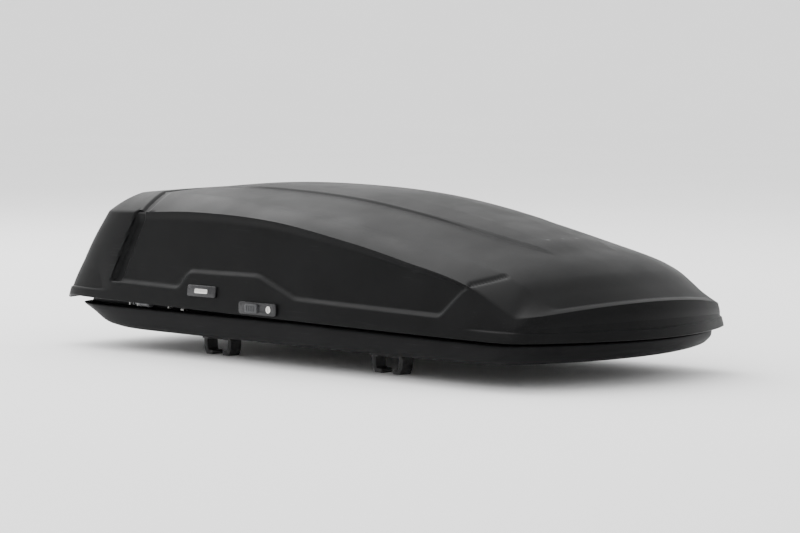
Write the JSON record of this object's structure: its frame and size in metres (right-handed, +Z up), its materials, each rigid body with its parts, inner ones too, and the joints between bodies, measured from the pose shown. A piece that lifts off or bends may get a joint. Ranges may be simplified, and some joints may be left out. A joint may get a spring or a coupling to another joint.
{
  "type": "roof cargo box",
  "caption": "Long wedge-nosed roof cargo box with a crowned lid that opens from either side on lifter arms, and bar clamps underneath.",
  "frame": {"origin": "centre of the footprint, on the plane of the undersides of the clamp jaws", "axes": "+X towards the nose (forward on the car), +Y to the left side, +Z up"},
  "size_m": [1.9, 0.8636, 0.4555],
  "materials": {
    "base_abs": "matte moulded, fine grain",
    "lid_abs": "matte textured, black",
    "rail_alu": "mill finish",
    "zinc_steel": "zinc plated",
    "arm_steel": "grey powder coat",
    "barrel_plastic": "matte",
    "glass_nylon": "glass filled nylon, matte",
    "trim_gloss": "gloss black",
    "handle_plastic": "matte, fine ribs",
    "knob_red": "matte red",
    "key_metal": "satin",
    "pad_rubber": "matte"
  },
  "bodies": {
    "base": {"base_shell": "base_abs", "rail_right": "rail_alu", "rail_left": "rail_alu", "rail_rivets": "zinc_steel", "strikers_right": "zinc_steel", "strikers_left": "zinc_steel", "lifter_brackets_right": "zinc_steel", "lifter_brackets_left": "zinc_steel", "spring_barrels_right": "barrel_plastic", "spring_barrels_left": "barrel_plastic"},
    "arms_a": {"lifter_arms_a": "arm_steel"},
    "arms_b": {"lifter_arms_b": "arm_steel"},
    "lid": {"lid_shell": "lid_abs", "lid_beam_right": "rail_alu", "lid_beam_left": "rail_alu", "lid_braces": "barrel_plastic", "claws_right": "glass_nylon", "claws_left": "glass_nylon", "lid_lugs_right": "zinc_steel", "lid_lugs_left": "zinc_steel", "lock_plate_right": "trim_gloss", "lock_plate_left": "trim_gloss", "badge_right": "trim_gloss", "badge_left": "trim_gloss"},
    "lock_right": {"lock_bar_right": "zinc_steel", "slide_handle_right": "handle_plastic"},
    "lock_left": {"lock_bar_left": "zinc_steel", "slide_handle_left": "handle_plastic"},
    "key_right": {"key_cylinder_right": "key_metal"},
    "key_left": {"key_cylinder_left": "key_metal"},
    "clamp_front_right": {"clamp_front_right_housing": "glass_nylon", "clamp_front_right_saddle": "glass_nylon", "clamp_front_right_pad": "pad_rubber"},
    "clamp_front_right_turn": {"clamp_front_right_knob": "knob_red", "clamp_front_right_spindle": "zinc_steel"},
    "clamp_front_right_jaw_front": {"clamp_front_right_jaw_front": "glass_nylon"},
    "clamp_front_right_jaw_rear": {"clamp_front_right_jaw_rear": "glass_nylon"},
    "clamp_front_left": {"clamp_front_left_housing": "glass_nylon", "clamp_front_left_saddle": "glass_nylon", "clamp_front_left_pad": "pad_rubber"},
    "clamp_front_left_turn": {"clamp_front_left_knob": "knob_red", "clamp_front_left_spindle": "zinc_steel"},
    "clamp_front_left_jaw_front": {"clamp_front_left_jaw_front": "glass_nylon"},
    "clamp_front_left_jaw_rear": {"clamp_front_left_jaw_rear": "glass_nylon"},
    "clamp_rear_right": {"clamp_rear_right_housing": "glass_nylon", "clamp_rear_right_saddle": "glass_nylon", "clamp_rear_right_pad": "pad_rubber"},
    "clamp_rear_right_turn": {"clamp_rear_right_knob": "knob_red", "clamp_rear_right_spindle": "zinc_steel"},
    "clamp_rear_right_jaw_front": {"clamp_rear_right_jaw_front": "glass_nylon"},
    "clamp_rear_right_jaw_rear": {"clamp_rear_right_jaw_rear": "glass_nylon"},
    "clamp_rear_left": {"clamp_rear_left_housing": "glass_nylon", "clamp_rear_left_saddle": "glass_nylon", "clamp_rear_left_pad": "pad_rubber"},
    "clamp_rear_left_turn": {"clamp_rear_left_knob": "knob_red", "clamp_rear_left_spindle": "zinc_steel"},
    "clamp_rear_left_jaw_front": {"clamp_rear_left_jaw_front": "glass_nylon"},
    "clamp_rear_left_jaw_rear": {"clamp_rear_left_jaw_rear": "glass_nylon"}
  },
  "joints": [
    {"name": "open_right_side", "type": "hinge", "parent": "base", "child": "arms_a", "pos_m": [0, 0.39, 0.1353], "axis": [-1, 0, 0], "range_deg": [0, 42]},
    {"name": "open_left_side", "type": "hinge", "parent": "arms_a", "child": "lid", "pos_m": [0, -0.39, 0.1353], "axis": [-1, 0, 0], "range_deg": [-42, 0]},
    {"name": "left_lifters", "type": "hinge", "parent": "base", "child": "arms_b", "pos_m": [0, -0.39, 0.1353], "axis": [-1, 0, 0], "range_deg": [-42, 0]},
    {"name": "slide_handle_right", "type": "slide", "parent": "lid", "child": "lock_right", "axis": [-1, 0, 0], "range_m": [0, 0.018]},
    {"name": "key_right", "type": "hinge", "parent": "lid", "child": "key_right", "pos_m": [-0.01, -0.421, 0.1513], "axis": [0, -1, 0], "range_deg": [0, 90]},
    {"name": "slide_handle_left", "type": "slide", "parent": "lid", "child": "lock_left", "axis": [-1, 0, 0], "range_m": [0, 0.018]},
    {"name": "key_left", "type": "hinge", "parent": "lid", "child": "key_left", "pos_m": [-0.01, 0.421, 0.1513], "axis": [0, 1, 0], "range_deg": [0, 90]},
    {"name": "clamp_front_right_slide", "type": "slide", "parent": "base", "child": "clamp_front_right", "axis": [1, 0, 0], "range_m": [-0.1, 0.1]},
    {"name": "clamp_front_right_knob", "type": "hinge", "parent": "clamp_front_right", "child": "clamp_front_right_turn", "pos_m": [0.285, -0.265, 0.1153], "axis": [0, 0, 1], "range_deg": [0, 720]},
    {"name": "clamp_front_right_front_jaw", "type": "hinge", "parent": "clamp_front_right", "child": "clamp_front_right_jaw_front", "pos_m": [0.335, -0.265, 0.048], "axis": [0, -1, 0], "range_deg": [0, 25]},
    {"name": "clamp_front_right_rear_jaw", "type": "hinge", "parent": "clamp_front_right", "child": "clamp_front_right_jaw_rear", "pos_m": [0.235, -0.265, 0.048], "axis": [0, 1, 0], "range_deg": [0, 25]},
    {"name": "clamp_front_left_slide", "type": "slide", "parent": "base", "child": "clamp_front_left", "axis": [1, 0, 0], "range_m": [-0.1, 0.1]},
    {"name": "clamp_front_left_knob", "type": "hinge", "parent": "clamp_front_left", "child": "clamp_front_left_turn", "pos_m": [0.285, 0.265, 0.1153], "axis": [0, 0, 1], "range_deg": [0, 720]},
    {"name": "clamp_front_left_front_jaw", "type": "hinge", "parent": "clamp_front_left", "child": "clamp_front_left_jaw_front", "pos_m": [0.335, 0.265, 0.048], "axis": [0, -1, 0], "range_deg": [0, 25]},
    {"name": "clamp_front_left_rear_jaw", "type": "hinge", "parent": "clamp_front_left", "child": "clamp_front_left_jaw_rear", "pos_m": [0.235, 0.265, 0.048], "axis": [0, 1, 0], "range_deg": [0, 25]},
    {"name": "clamp_rear_right_slide", "type": "slide", "parent": "base", "child": "clamp_rear_right", "axis": [1, 0, 0], "range_m": [-0.1, 0.1]},
    {"name": "clamp_rear_right_knob", "type": "hinge", "parent": "clamp_rear_right", "child": "clamp_rear_right_turn", "pos_m": [-0.385, -0.265, 0.1153], "axis": [0, 0, 1], "range_deg": [0, 720]},
    {"name": "clamp_rear_right_front_jaw", "type": "hinge", "parent": "clamp_rear_right", "child": "clamp_rear_right_jaw_front", "pos_m": [-0.335, -0.265, 0.048], "axis": [0, -1, 0], "range_deg": [0, 25]},
    {"name": "clamp_rear_right_rear_jaw", "type": "hinge", "parent": "clamp_rear_right", "child": "clamp_rear_right_jaw_rear", "pos_m": [-0.435, -0.265, 0.048], "axis": [0, 1, 0], "range_deg": [0, 25]},
    {"name": "clamp_rear_left_slide", "type": "slide", "parent": "base", "child": "clamp_rear_left", "axis": [1, 0, 0], "range_m": [-0.1, 0.1]},
    {"name": "clamp_rear_left_knob", "type": "hinge", "parent": "clamp_rear_left", "child": "clamp_rear_left_turn", "pos_m": [-0.385, 0.265, 0.1153], "axis": [0, 0, 1], "range_deg": [0, 720]},
    {"name": "clamp_rear_left_front_jaw", "type": "hinge", "parent": "clamp_rear_left", "child": "clamp_rear_left_jaw_front", "pos_m": [-0.335, 0.265, 0.048], "axis": [0, -1, 0], "range_deg": [0, 25]},
    {"name": "clamp_rear_left_rear_jaw", "type": "hinge", "parent": "clamp_rear_left", "child": "clamp_rear_left_jaw_rear", "pos_m": [-0.435, 0.265, 0.048], "axis": [0, 1, 0], "range_deg": [0, 25]}
  ],
  "couplings": [
    {"joint": "left_lifters", "follows": "open_left_side", "ratio": 1},
    {"joint": "clamp_front_right_front_jaw", "follows": "clamp_front_right_knob", "ratio": 0.034583},
    {"joint": "clamp_front_right_rear_jaw", "follows": "clamp_front_right_knob", "ratio": 0.034583},
    {"joint": "clamp_front_left_front_jaw", "follows": "clamp_front_left_knob", "ratio": 0.034583},
    {"joint": "clamp_front_left_rear_jaw", "follows": "clamp_front_left_knob", "ratio": 0.034583},
    {"joint": "clamp_rear_right_front_jaw", "follows": "clamp_rear_right_knob", "ratio": 0.034583},
    {"joint": "clamp_rear_right_rear_jaw", "follows": "clamp_rear_right_knob", "ratio": 0.034583},
    {"joint": "clamp_rear_left_front_jaw", "follows": "clamp_rear_left_knob", "ratio": 0.034583},
    {"joint": "clamp_rear_left_rear_jaw", "follows": "clamp_rear_left_knob", "ratio": 0.034583}
  ]
}
